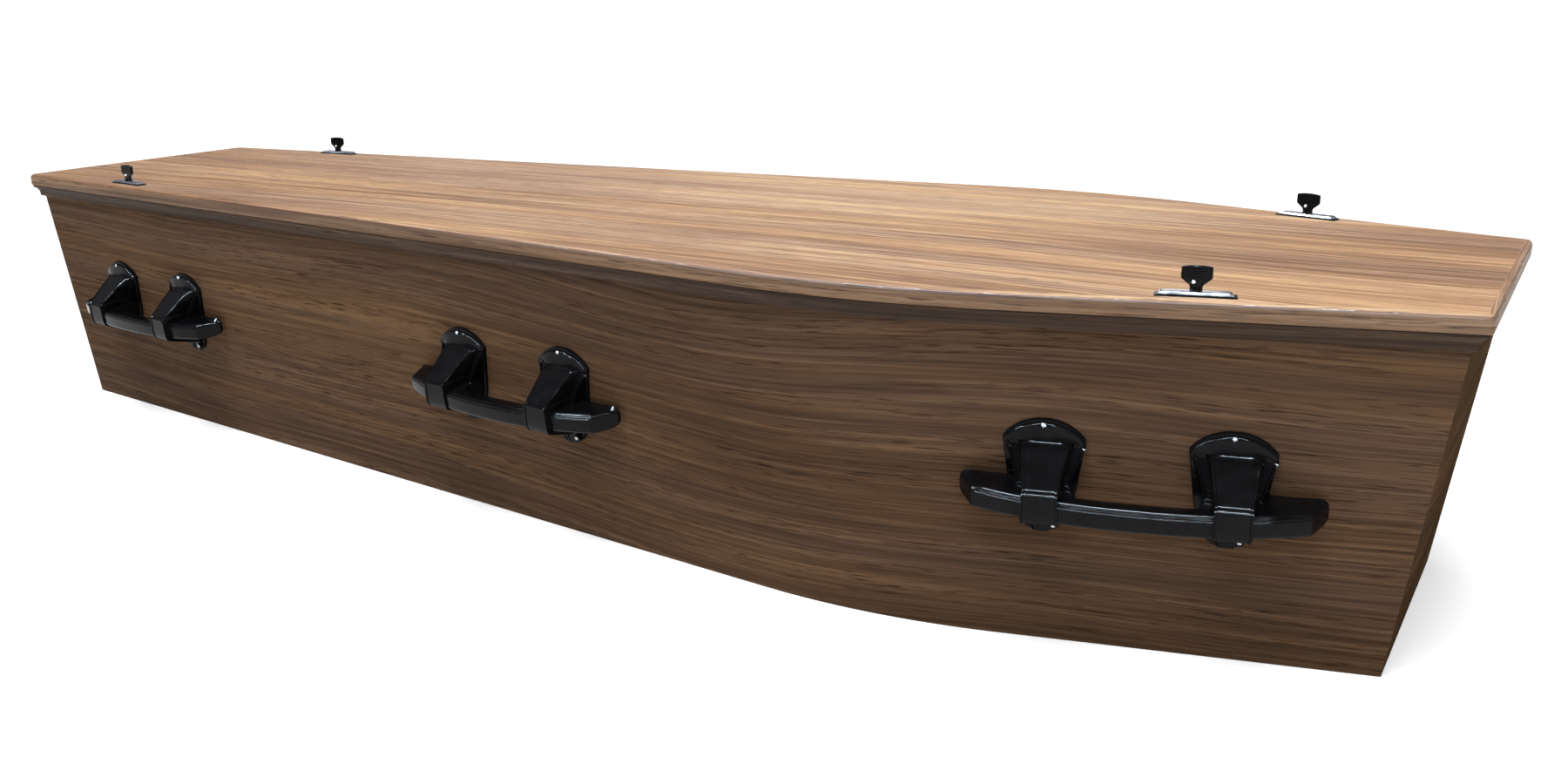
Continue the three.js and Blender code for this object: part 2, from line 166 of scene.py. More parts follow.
class Graph:
    """Adds nodes to a material and links them, so that a pattern reads as a few lines."""

    def __init__(self, name):
        self.material = bpy.data.materials.new(name)
        self.material.use_nodes = True
        self.tree = self.material.node_tree
        self.shader = self.tree.nodes["Principled BSDF"]

    def node(self, kind, inputs=None, **settings):
        made = self.tree.nodes.new(kind)
        for key, value in settings.items():
            setattr(made, key, value)
        for key, value in (inputs or {}).items():
            self.put(made.inputs[key], value)
        return made

    def put(self, socket, value):
        if isinstance(value, bpy.types.NodeSocket):
            self.tree.links.new(value, socket)
        else:
            socket.default_value = value

    def math(self, operation, a, b=0.0, c=0.0):
        return self.node("ShaderNodeMath", {0: a, 1: b, 2: c}, operation=operation).outputs[0]

    def combine(self, x=0.0, y=0.0, z=0.0):
        return self.node("ShaderNodeCombineXYZ", {0: x, 1: y, 2: z}).outputs[0]

    def noise(self, vector, scale=1.0, detail=2.0, rough=0.5):
        inputs = {"Vector": vector, "Scale": scale, "Detail": detail, "Roughness": rough}
        return self.node("ShaderNodeTexNoise", inputs).outputs["Fac"]

    def remap(self, value, low, high, new_low=0.0, new_high=1.0, smooth=True):
        inputs = {"Value": value, "From Min": low, "From Max": high, "To Min": new_low, "To Max": new_high}
        kind = "SMOOTHSTEP" if smooth else "LINEAR"
        return self.node("ShaderNodeMapRange", inputs, interpolation_type=kind).outputs[0]

    def ramp(self, value, stops):
        made = self.node("ShaderNodeValToRGB", {0: value})
        elements = made.color_ramp.elements
        while len(elements) < len(stops):
            elements.new(1.0)
        for element, (place, colour) in zip(elements, stops):
            element.position = place
            element.color = (*colour, 1.0)
        return made.outputs[0]

    def mix(self, share, a, b, blend="MIX"):
        made = self.node("ShaderNodeMix", data_type="RGBA", blend_type=blend)
        for socket, value in ((made.inputs[0], share), (made.inputs[6], a), (made.inputs[7], b)):
            if isinstance(value, tuple):
                value = (*value, 1.0)
            self.put(socket, value)
        return made.outputs[2]

    def bump(self, height, distance, strength):
        inputs = {"Height": height, "Distance": distance, "Strength": strength}
        return self.node("ShaderNodeBump", inputs).outputs[0]


def srgb(red, green, blue):
    """A colour as the photograph shows it, 0 to 255, in the shader's linear values."""
    def linear(value):
        value /= 255
        return value / 12.92 if value <= 0.04045 else ((value + 0.055) / 1.055) ** 2.4
    return linear(red), linear(green), linear(blue)


# Tones of each veneer, dark to light
DARK_WALNUT = [srgb(43, 32, 23), srgb(61, 46, 33), srgb(77, 58, 42), srgb(92, 70, 50), srgb(112, 86, 60)]
END_WALNUT = [srgb(42, 31, 20), srgb(57, 43, 28), srgb(70, 53, 36), srgb(84, 65, 44), srgb(100, 78, 54)]
LIGHT_WALNUT = [
    srgb(100, 74, 55), srgb(138, 106, 80), srgb(166, 131, 100), srgb(188, 153, 115), srgb(208, 175, 134),
]
LINE_WALNUT = [srgb(70, 40, 26), srgb(92, 55, 36), srgb(112, 68, 45), srgb(130, 82, 55), srgb(150, 98, 66)]
EDGE_WALNUT = [srgb(72, 53, 38), srgb(96, 73, 54), srgb(115, 90, 67), srgb(134, 107, 81), srgb(156, 127, 98)]
STRIP_WALNUT = [srgb(38, 29, 21), srgb(53, 40, 30), srgb(65, 50, 38), srgb(79, 62, 46), srgb(97, 76, 57)]
TONE_PLACES = (0.0, 0.30, 0.52, 0.72, 1.0)
COOL = (0.93, 0.98, 1.12)

# Waves to a metre along and across the grain, in the patterns that make up the figure
SLOW_DRIFT, QUICK_DRIFT = (1.1, 3.6), (6.0, 24.0)
BROAD, MIDDLING, FINE = (0.7, 14.0), (1.6, 72.0), (3.5, 230.0)
NARROW, THREAD, CLOUD = (5.0, 390.0), (9.0, 700.0), (1.5, 5.0)
WARM, PORES = (0.8, 30.0), (30.0, 760.0)
# How far the lines drift across the board, in metres
SLOW_REACH, QUICK_REACH = 0.20, 0.008
PORE_ROUGHNESS = 0.2
PORE_DEPTH = 0.0002


def walnut(name, along, across, palette, seed, gloss=0.45, shine=0.05, pore_share=0.75,
           wander=1.0, spread=0.62, bold=1.0, arch=None):
    """Walnut veneer: growth lines along one axis, which wander and rise over an arch, with pores."""
    g = Graph(name)
    if along == "U":
        place = g.node("ShaderNodeUVMap", uv_map="grain").outputs[0]
        along, across = "X", "Y"
    else:
        place = g.node("ShaderNodeTexCoord").outputs["Object"]
    split = g.node("ShaderNodeSeparateXYZ", {0: place})
    run = g.math("ADD", split.outputs[along], seed)
    cross = split.outputs[across]

    def pattern(across_at, waves, offset, detail=2.0, rough=0.5):
        along_waves = g.math("MULTIPLY", run, waves[0])
        across_waves = g.math("MULTIPLY", across_at, waves[1])
        return g.noise(g.combine(along_waves, across_waves, offset), detail=detail, rough=rough)

    slow = pattern(cross, SLOW_DRIFT, seed, detail=1.0)
    quick = pattern(cross, QUICK_DRIFT, seed + 3)
    drift = g.math("MULTIPLY_ADD", slow, SLOW_REACH * wander, g.math("MULTIPLY", quick, QUICK_REACH * wander))
    line = g.math("ADD", cross, drift)
    if arch:
        middle_of_arch, reach, rise = arch
        away = g.math("DIVIDE", g.math("SUBTRACT", split.outputs[along], middle_of_arch), reach)
        hill = g.math("EXPONENT", g.math("MULTIPLY", g.math("MULTIPLY", away, away), -1.0))
        line = g.math("MULTIPLY_ADD", hill, rise, line)

    middling = pattern(line, MIDDLING, seed + 13)
    fine = pattern(line, FINE, seed + 17, detail=3.0, rough=0.65)
    parts = [
        (pattern(line, BROAD, seed + 11, detail=1.0), 0.8 * bold),
        (middling, 0.95 * bold),
        (fine, 1.15),
        (pattern(cross, CLOUD, seed + 7), 0.5 / bold),
        (pattern(line, NARROW, seed + 21), 0.8),
        (pattern(line, THREAD, seed + 19), 0.5),
    ]
    tone, centre = 0.0, 0.0
    for value, weight in parts:
        tone = g.math("MULTIPLY_ADD", value, weight, tone)
        centre += weight / 2
    tone = g.remap(tone, centre - spread, centre + spread, smooth=False)
    colour = g.ramp(tone, list(zip(TONE_PLACES, palette)))

    warmth = g.remap(pattern(line, WARM, seed + 23, detail=1.0), 0.38, 0.62)
    colour = g.mix(warmth, colour, COOL, blend="MULTIPLY")

    pores = g.remap(pattern(line, PORES, seed, detail=1.0), 0.58, 0.68)
    pores = g.math("MULTIPLY", pores, g.remap(middling, 0.38, 0.62, 0.2, 1.0))
    pore_colour = tuple(0.5 * c for c in palette[0])
    colour = g.mix(g.math("MULTIPLY", pores, pore_share), colour, pore_colour)
    g.put(g.shader.inputs["Base Color"], colour)

    g.put(g.shader.inputs["Roughness"], g.remap(pores, 0.0, 1.0, gloss, gloss + PORE_ROUGHNESS, smooth=False))
    g.shader.inputs["Specular IOR Level"].default_value = shine
    relief = g.math("MULTIPLY_ADD", pores, -1.0, g.math("MULTIPLY", fine, 0.5))
    g.put(g.shader.inputs["Normal"], g.bump(relief, PORE_DEPTH, 0.5))
    return g.material


PLASTIC_DARK, PLASTIC_LIGHT = (0.002, 0.002, 0.0024), (0.004, 0.004, 0.0046)
PLASTIC_SHINE = 0.08
CHROME_DARK, CHROME_LIGHT = (0.56, 0.57, 0.60), (0.74, 0.75, 0.77)


def black_plastic(name):
    """Moulded black plastic with a faint waviness."""
    g = Graph(name)
    place = g.node("ShaderNodeTexCoord").outputs["Object"]
    cloud = g.noise(place, scale=60.0)
    grain = g.noise(place, scale=1400.0)
    g.put(g.shader.inputs["Base Color"], g.ramp(cloud, [(0.3, PLASTIC_DARK), (0.7, PLASTIC_LIGHT)]))
    g.put(g.shader.inputs["Roughness"], g.remap(cloud, 0.3, 0.7, 0.09, 0.14))
    g.shader.inputs["Specular IOR Level"].default_value = PLASTIC_SHINE
    g.put(g.shader.inputs["Normal"], g.bump(grain, 0.00003, 0.3))
    return g.material


def chrome(name):
    """Bright plating, a little cloudy."""
    g = Graph(name)
    place = g.node("ShaderNodeTexCoord").outputs["Object"]
    cloud = g.noise(place, scale=90.0, detail=3.0)
    g.shader.inputs["Metallic"].default_value = 1.0
    g.put(g.shader.inputs["Base Color"], g.ramp(cloud, [(0.3, CHROME_DARK), (0.7, CHROME_LIGHT)]))
    g.put(g.shader.inputs["Roughness"], g.remap(cloud, 0.3, 0.7, 0.10, 0.2))
    g.put(g.shader.inputs["Normal"], g.bump(cloud, 0.0001, 0.2))
    return g.material


def set_material(node, material):
    """Gives a CAD node a better material in place of its plain one."""
    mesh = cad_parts[node].data
    mesh.materials.clear()
    mesh.materials.append(material)


# Meshes of the scene's own pieces

class Shell:
    """Collects the points, faces and surface coordinates of one mesh."""

    def __init__(self):
        self.points, self.faces, self.marks, self.slots = [], [], [], []

    def face(self, corners, marks=None, slot=0):
        self.faces.append(corners)
        self.marks.append(marks or [(0.0, 0.0)] * len(corners))
        self.slots.append(slot)

    def loft(self, rings, closed=True, caps=(True, True), marks=None, slot=None):
        """Joins rings of points. A mark is a point's place in the grain; slot gives a face's material."""
        base = len(self.points)
        count = len(rings[0])
        for ring in rings:
            self.points.extend(ring)
        last = count if closed else count - 1
        for i in range(len(rings) - 1):
            for j in range(last):
                k = (j + 1) % count
                corners = [base + i * count + j, base + i * count + k,
                           base + (i + 1) * count + k, base + (i + 1) * count + j]
                uv = None
                if marks:
                    row, above = marks[i], marks[i + 1]
                    uv = [row[j], row[j + 1], above[j + 1], above[j]]
                self.face(corners, uv, slot(i, j) if slot else 0)
        if caps[0]:
            self.face([base + j for j in reversed(range(count))])
        if caps[1]:
            self.face([base + (len(rings) - 1) * count + j for j in range(count)])

    def add(self, other, matrix=None):
        base = len(self.points)
        for p in other.points:
            self.points.append(tuple(matrix @ Vector(p)) if matrix else p)
        flip = matrix is not None and matrix.determinant() < 0
        for corners, marks, slot in zip(other.faces, other.marks, other.slots):
            corners = [base + c for c in corners]
            self.face(corners[::-1] if flip else corners, marks[::-1] if flip else marks, slot)

    def piece(self, name, materials, slot, nodes=(), smooth_angle=35.0):
        """Makes the object, which rides with the coffin and stands for the CAD nodes named."""
        mesh = bpy.data.meshes.new(name)
        mesh.from_pydata(self.points, [], self.faces)
        layer = mesh.uv_layers.new(name="grain")
        at = 0
        for polygon, marks, place in zip(mesh.polygons, self.marks, self.slots):
            polygon.material_index = place
            for mark in marks:
                layer.data[at].uv = mark
                at += 1
        for material in materials:
            mesh.materials.append(material)
        tidy = bmesh.new()
        tidy.from_mesh(mesh)
        bmesh.ops.recalc_face_normals(tidy, faces=tidy.faces)
        tidy.to_mesh(mesh)
        tidy.free()
        mesh.shade_smooth()
        mesh.set_sharp_from_angle(angle=math.radians(smooth_angle))
        piece = bpy.data.objects.new(name, mesh)
        bpy.context.collection.objects.link(piece)
        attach(piece, "root")
        if nodes:
            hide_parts(*nodes)


# Plan of the box: two straight stretches on each side, joined by the bend of the shoulder

class Stretch:
    def __init__(self, start, end):
        self.start = Vector(start)
        self.along = (Vector(end) - self.start).normalized()
        self.out = Vector((-self.along.y, self.along.x))

    def half_width(self, x, push):
        start = self.start + self.out * push
        return start.y + self.along.y * (x - start.x) / self.along.x


FOOT_CORNER = (0.0, FOOT_HALF_WIDTH)
SHOULDER_CORNER = (SHOULDER_FROM_FOOT, SHOULDER_HALF_WIDTH)
LEG = Stretch(FOOT_CORNER, SHOULDER_CORNER)
HEAD = Stretch(SHOULDER_CORNER, (BASE_LENGTH, HEAD_HALF_WIDTH))
BEND_ANGLE = LEG.along.angle(HEAD.along)
BEND_START = Vector(SHOULDER_CORNER) - LEG.along * BEND_RADIUS * math.tan(BEND_ANGLE / 2)
BEND_CENTRE = BEND_START - LEG.out * BEND_RADIUS


def side_line(push, foot_end, head_end):
    """Points of the far side, foot to head, pushed out by a distance and cut square at both ends."""
    points = [Vector((foot_end, LEG.half_width(foot_end, push)))]
    for i in range(BEND_STEPS + 1):
        angle = -BEND_ANGLE * i / BEND_STEPS
        out = Matrix.Rotation(angle, 2) @ LEG.out
        points.append(BEND_CENTRE + out * (BEND_RADIUS + push))
    points.append(Vector((head_end, HEAD.half_width(head_end, push))))
    return points


def splay(z):
    """How far the side, the foot end and the head end have moved out at a height."""
    share = z / BOX_HEIGHT
    return SIDE_SPLAY * share, -FOOT_SPLAY * share, BASE_LENGTH + HEAD_SPLAY * share


def run_lengths(points):
    lengths = [0.0]
    for a, b in zip(points, points[1:]):
        lengths.append(lengths[-1] + (b - a).length)
    return lengths


def depths_round(section):
    """Distances round a closed section from its first point, which set the grain across it."""
    depths = [0.0]
    for a, b in zip(section, section[1:] + section[:1]):
        depths.append(depths[-1] + math.hypot(b[0] - a[0], b[1] - a[1]))
    return depths


def signed(points, z, sign):
    return [(p.x - MIDDLE, sign * p.y, z) for p in points]


# Boards and strips of the box

def add_side_board(side, sign, material, end_material):
    """One long bent board, with its sharp edges just broken and its own veneer on the two ends."""
    top = BOX_HEIGHT - GAP
    rows = [(0.0, BOARD_EDGE), (BOARD_EDGE, 0.0), (top - BOARD_EDGE, 0.0), (top, BOARD_EDGE)]
    outline = [(z, -inset) for z, inset in rows] + [(z, inset - BOARD) for z, inset in reversed(rows)]
    lines = []
    for z, push in outline:
        out, foot, head = splay(z)
        lines.append(signed(side_line(out + push, foot, head), z, sign))
    runs = run_lengths([Vector(p) for p in lines[1]])
    depths = depths_round(outline)
    rings = [[line[i] for line in lines] for i in range(len(runs))]
    marks = [[(run, depth) for depth in depths] for run in runs]
    shell = Shell()
    shell.loft(rings, marks=marks)
    shell.slots[-2:] = [1, 1]
    shell.piece(f"side_{side}", [material, end_material], "dark_walnut", [f"side_board_{side}"])


def rim_section():
    """Section of the strip below the lid, outward and up: a cove between two small edges."""
    low = BOX_HEIGHT - RIM_HEIGHT
    top = BOX_HEIGHT - GAP
    section = [(GAP, low), (RIM_FOOT_THICKNESS - RIM_CHAMFER, low), (RIM_FOOT_THICKNESS, low + RIM_CHAMFER)]
    cove_low, cove_high = low + 0.0032, top - RIM_LIP - 0.0004
    for i in range(COVE_STEPS + 1):
        angle = math.pi / 2 * i / COVE_STEPS
        out = RIM_FOOT_THICKNESS - 0.0004 + COVE_DEPTH * (1 - math.cos(angle))
        section.append((out, cove_low + (cove_high - cove_low) * math.sin(angle)))
    lip = [(0.0006, RIM_LIP), (0.0002, 0.0008), (0.0008, 0.0)]
    section += [(RIM_TOP_THICKNESS - inset, top - drop) for inset, drop in lip]
    section.append((GAP, top))
    return section


def add_rims(material, end_material):
    section = rim_section()
    depths = depths_round(section)
    for side, sign in (("near", -1), ("far", 1)):
        lines = []
        for push, z in section:
            out, foot, head = splay(z)
            lines.append(signed(side_line(out + push, foot - push, head + push), z, sign))
        runs = run_lengths([Vector(p) for p in lines[0]])
        rings = [[line[i] for line in lines] for i in range(len(runs))]
        marks = [[(run, depth) for depth in depths] for run in runs]
        shell = Shell()
        shell.loft(rings, marks=marks)
        shell.slots[-2:] = [1, 1]
        shell.piece(f"strip_{side}", [material, end_material], "dark_walnut", [f"rim_{side}"])
    for end, stretch, sign in (("foot", LEG, -1), ("head", HEAD, 1)):
        rings, marks = [], []
        for hand in (-sign, sign):
            ring = []
            for push, z in section:
                out, foot, head = splay(z)
                x = foot - push if end == "foot" else head + push
                ring.append((x - MIDDLE, hand * stretch.half_width(x, out), z))
            rings.append(ring)
            marks.append([(rings[-1][0][1], depth + STRIP_END_GRAIN) for depth in depths])
        shell = Shell()
        shell.loft(rings, marks=marks)
        shell.piece(f"strip_{end}", [end_material], "dark_walnut", [f"rim_{end}"])


# Lid, with a quarter round along its top edge and eased corners

def lid_plan(inset, corner):
    """Points round the lid at an inset from its edge, with its four corners rounded."""
    push = SIDE_SPLAY + LID_OVERHANG - inset
    foot = -FOOT_SPLAY - LID_OVERHANG + inset
    head = BASE_LENGTH + HEAD_SPLAY + LID_OVERHANG - inset
    far = side_line(push, foot, head)
    near = [Vector((p.x, -p.y)) for p in far]
    loop = near + far[::-1]
    corners = {0, len(near) - 1, len(near), len(loop) - 1}
    points = []
    for i, p in enumerate(loop):
        if i not in corners:
            points.append(p)
            continue
        before = (loop[i - 1] - p).normalized()
        after = (loop[(i + 1) % len(loop)] - p).normalized()
        half = before.angle(after) / 2
        centre = p + (before + after).normalized() * corner / math.sin(half)
        start = p + before * corner / math.tan(half) - centre
        turn = math.pi - 2 * half
        for k in range(CORNER_STEPS + 1):
            points.append(centre + Matrix.Rotation(turn * k / CORNER_STEPS, 2) @ start)
    return points


def add_lid(top_material, edge_material, line_material):
    """The lid, whose top veneer wraps over the rounding down to a thin line above the edge band."""
    top = BOX_HEIGHT + LID_THICKNESS
    rows = [(LID_LOWER_EDGE, BOX_HEIGHT), (0.0, BOX_HEIGHT + LID_LOWER_EDGE)]
    for i in range(ROUNDING_STEPS + 1):
        angle = math.pi / 2 * i / ROUNDING_STEPS
        rows.append((LID_ROUNDING * (1 - math.cos(angle)), top - LID_ROUNDING * (1 - math.sin(angle))))
    rings, marks = [], []
    plan = lid_plan(0.0, LID_CORNER)
    runs = run_lengths(plan + plan[:1])
    depth = 0.0
    for i, (inset, z) in enumerate(rows):
        if i:
            depth += math.hypot(inset - rows[i - 1][0], z - rows[i - 1][1])
        ring = lid_plan(inset, max(LID_CORNER - inset, LID_SMALLEST_CORNER))
        rings.append([(p.x - MIDDLE, p.y, z) for p in ring])
        marks.append([(run, depth + LID_EDGE_GRAIN) for run in runs])
    # The band of faces at this row is the thin line, those above it are the top veneer
    wrapped = len(rings) - 1 - VENEER_ROWS

    def veneer(i, j):
        if i == wrapped:
            return 2
        return 0 if i > wrapped else 1

    shell = Shell()
    shell.loft(rings, caps=(False, False), marks=marks, slot=veneer)
    half = len(plan) // 2
    for base in ((len(rings) - 1) * len(plan), 0):
        for k in range(half - 1):
            quad = [base + k, base + k + 1, base + len(plan) - 2 - k, base + len(plan) - 1 - k]
            shell.face(quad, [shell.points[c][:2] for c in quad], 0)
    materials = [top_material, edge_material, line_material]
    shell.piece("lid", materials, "light_walnut", ["lid_board"], smooth_angle=25.0)


# Handles. Local axes: X along the board, Y up the board, Z away from it, from the top screws' line

def handle_frame(stretch, distance):
    """Places a handle on the near side, as the CAD model does."""
    lean = math.atan2(SIDE_SPLAY, BOX_HEIGHT)
    place = stretch.start + stretch.out * splay(HANDLE_HEIGHT)[0] + stretch.along * distance
    along = Vector((stretch.along.x, -stretch.along.y, 0.0))
    out = Vector((stretch.out.x * math.cos(lean), -stretch.out.y * math.cos(lean), -math.sin(lean)))
    stand = Vector((place.x - MIDDLE, -place.y, HANDLE_HEIGHT)) + out * GAP
    return Matrix.Translation(stand) @ Matrix((along, out.cross(along), out)).transposed().to_4x4()


def blend(a, b, share):
    return a + (b - a) * share


def ease(value, low, high):
    share = min(max((value - low) / (high - low), 0.0), 1.0)
    return share * share * (3 - 2 * share)


def arc(centre, radius, start, end, steps):
    points = []
    for i in range(steps + 1):
        angle = math.radians(blend(start, end, i / steps))
        points.append((centre[0] + radius * math.cos(angle), centre[1] + radius * math.sin(angle)))
    return points


def bar_front(size):
    """How far the bar's front stands out from the board at a distance from its middle."""
    def bowed(at):
        return BAR_FRONT - BAR_BOW * (at / BAR_BOW_LENGTH) ** BAR_BOW_POWER
    if size <= FACET_START:
        return bowed(size)
    return blend(bowed(FACET_START), FACET_FRONT, (size - FACET_START) / (BAR_END - FACET_START))


def bar_half_height(size):
    """Half the bar's height, which rounds off at the tip."""
    past = max(size - TIP_START, 0.0) / (BAR_END - TIP_START)
    return blend(TIP_HALF_HEIGHT, BAR_HALF_HEIGHT, math.sqrt(max(1 - past ** 2, 0.0)))


def bar_section(size, grow=0.0):
    """Section of the bar at a distance from its middle, as points away from the board and up it."""
    half = bar_half_height(size)
    level = BAR_LEVEL + BAR_RISE * (size / BAR_BOW_LENGTH) ** 2
    low, high = level - half - grow, level + half + grow
    front = bar_front(size) + grow
    wing = ease(size, WING_START - grow, WING_FULL - grow)
    grip_back = front - BAR_DEPTH - 2 * grow
    back = blend(grip_back, WING_BACK - grow, wing)
    depth = front - back
    small = half / BAR_HALF_HEIGHT
    corner = min(BAR_CORNER * small, depth / 4)
    points = arc((front - corner, low + corner), corner, -90, 0, 5)

    radius = min(BAR_ROUNDING * small, depth / 3)
    fade = 1 - ease(size, FACET_START - REEDS_FADE, FACET_START)
    ridge = 0.0 if grow else REED_DEPTH * min(small, depth / BAR_DEPTH) * fade
    steps = 36
    for i in range(steps + 1):
        share = i / steps
        wave = 1.0
        if REEDS_START <= share <= REEDS_END:
            wave = math.cos(2 * math.pi * REEDS * (share - REEDS_START) / (REEDS_END - REEDS_START))
        reach = radius - ridge * 0.5 * (1 - wave)
        angle = math.pi / 2 * share
        points.append((front - radius + reach * math.cos(angle), high - radius + reach * math.sin(angle)))

    rise = WING_RISE * small ** 2 * wing
    wing_low = low + WING_LOW * wing
    soft = corner * 0.5
    slope_start = front - min(max(WING_SLOPE_START, radius), depth / 2)
    points += [
        (slope_start, high), (back + corner, high + rise), (back + soft * 0.6, high + rise - soft * 0.5),
        (back, high + rise - corner), (back, wing_low + corner), (back + soft * 0.6, wing_low + soft * 0.5),
        (back + corner, wing_low),
    ]
    return points


def bar_shell(grow=0.0):
    """The bar, with stations closer together where its section changes."""
    places = [0.010 * i for i in range(5)]
    places += [WING_START - 0.001 + 0.0006 * i for i in range(10)]
    places += [0.060 + 0.0083 * i for i in range(9)]
    places += [FACET_START - d for d in (0.004, 0.0008, 0.0)]
    places += [BAR_END - d for d in (0.013, 0.0105, 0.0085, 0.0065, 0.0045, 0.003, 0.0017, 0.0007, 0.0002)]
    places.append(BAR_END)
    stations = [-p for p in reversed(places[1:])] + places
    rings = []
    for u in stations:
        end = math.copysign(grow, u) if abs(u) == BAR_END else 0.0
        rings.append([(u + end, w, v) for v, w in bar_section(abs(u), grow)])
    shell = Shell()
    shell.loft(rings)
    return shell


def plate_half_width(w):
    """Half width of a bracket's back plate at a height: a fan that narrows to the lobe."""
    if w > PLATE_WAIST[1]:
        share = (PLATE_SHOULDER - w) / (PLATE_SHOULDER - PLATE_WAIST[1])
        return blend(PLATE_HALF_WIDTH, PLATE_WAIST[0], max(share, 0.0))
    if w > LOBE_LEVEL:
        return blend(PLATE_WAIST[0], LOBE_HALF, (PLATE_WAIST[1] - w) / (PLATE_WAIST[1] - LOBE_LEVEL))
    return LOBE_HALF * math.sqrt(max(1 - ((w - LOBE_LEVEL) / LOBE_HEIGHT) ** 2, 0.0))


def column(level, value, table):
    """A value read off a table of levels, with straight lines between them."""
    for (a, *low), (b, *high) in zip(table, table[1:]):
        if b <= level <= a:
            return blend(low[value], high[value], (level - a) / (b - a))
    return table[0][value + 1] if level > table[0][0] else table[-1][value + 1]


# Level, half width of the tongue's front, how far it stands out, then the web's rib: half width and height
TONGUE = [
    (-0.0105, 0.0202, 0.0100, 0.0345, 0.0050),
    (-0.0125, 0.0199, 0.0135, 0.0342, 0.0056),
    (-0.0160, 0.0193, 0.0188, 0.0330, 0.0072),
    (-0.0385, 0.0146, 0.0512, 0.0252, 0.0168),
    (-0.0396, 0.0144, 0.0520, 0.0248, 0.0172),
    (-0.0404, 0.0150, 0.0544, 0.0246, 0.0176),
    (-0.0418, 0.0154, 0.0556, 0.0241, 0.0180),
    (-0.0436, 0.0153, 0.0556, 0.0236, 0.0188),
    (-0.0448, 0.0150, 0.0546, 0.0232, 0.0194),
    (-0.0540, 0.0156, 0.0552, 0.0205, 0.0220),
    (-0.0640, 0.0162, 0.0552, 0.0200, 0.0220),
    (-0.0690, 0.0160, 0.0536, 0.0196, 0.0200),
    (-0.0712, 0.0154, 0.0500, 0.0192, 0.0180),
    (-0.0740, 0.0150, 0.0430, 0.0186, 0.0150),
    (-0.0800, 0.0138, 0.0270, 0.0170, 0.0100),
    (-0.0850, 0.0126, 0.0110, 0.0154, 0.0060),
    (-0.0866, 0.0122, 0.0072, 0.0150, 0.0052),
    (-0.0880, 0.0110, 0.0056, 0.0146, 0.0050),
    (-0.1010, 0.0040, 0.0056, 0.0060, 0.0050),
]


# The cap's rows: distance below the plate's top, how far it follows the top arc, then how far it stands
# out at the edge, at the step inside it and at the middle
CAP_ROWS = [
    (0.0, 1.0, 0.0, 0.0, 0.0),
    (0.0, 1.0, 0.0026, 0.0026, 0.0026),
    (0.0006, 1.0, 0.0034, 0.0036, 0.0036),
    (0.0022, 0.98, 0.0036, 0.0040, 0.0040),
    (0.0027, 0.97, 0.0038, 0.0054, 0.0060),
    (0.0038, 0.94, 0.0038, 0.0060, 0.0070),
    (0.0060, 0.84, 0.0038, 0.0062, 0.0073),
    (0.0110, 0.60, 0.0038, 0.0064, 0.0082),
    (0.0160, 0.36, 0.0038, 0.0066, 0.0094),
    (0.0179, 0.22, 0.0038, 0.0066, 0.0100),
    (0.0186, 0.20, 0.0038, 0.0060, 0.0094),
]
# Levels of the rows below the cap, closer together at the roll above the bar and at the lobe
LOWER_LEVELS = [
    -0.0112, -0.0125, -0.0145, -0.0180, -0.0220, -0.0260, -0.0300, -0.0340, -0.0370, -0.0385, -0.0391,
    -0.0396, -0.0400, -0.0404, -0.0411, -0.0418, -0.0427, -0.0436, -0.0442, -0.0448, -0.0490, -0.0540,
    -0.0590, -0.0640, -0.0668, -0.0690, -0.0702, -0.0712, -0.0725, -0.0740, -0.0765, -0.0800, -0.0825,
    -0.0850, -0.0866, -0.0880, -0.0900, -0.0925, -0.0950, -0.0970, -0.0985, -0.0997, -0.1004,
]
PLATE_EDGE, PLATE_FLAT = 0.0034, 0.0044
# Points further out than this belong to the arm, which is shifted along the board from the plate
ARM_START = 0.0051
ARM_SHIFT_LEVELS = (0.004, 0.012)
# Bow of the rows just below the cap, which fades out between two levels
LOWER_BOW = 0.19
LOWER_BOW_LEVELS = (0.012, 0.019)
# Steps in height: the web below its rib, the web's inner side and the tongue's wall
WEB_DROP, INNER_RISE, WALL_DROP = 0.0022, 0.0012, 0.0014
WEB_DROP_LEVELS = (0.010, 0.013)
RIDGE_WIDTH = 0.0012


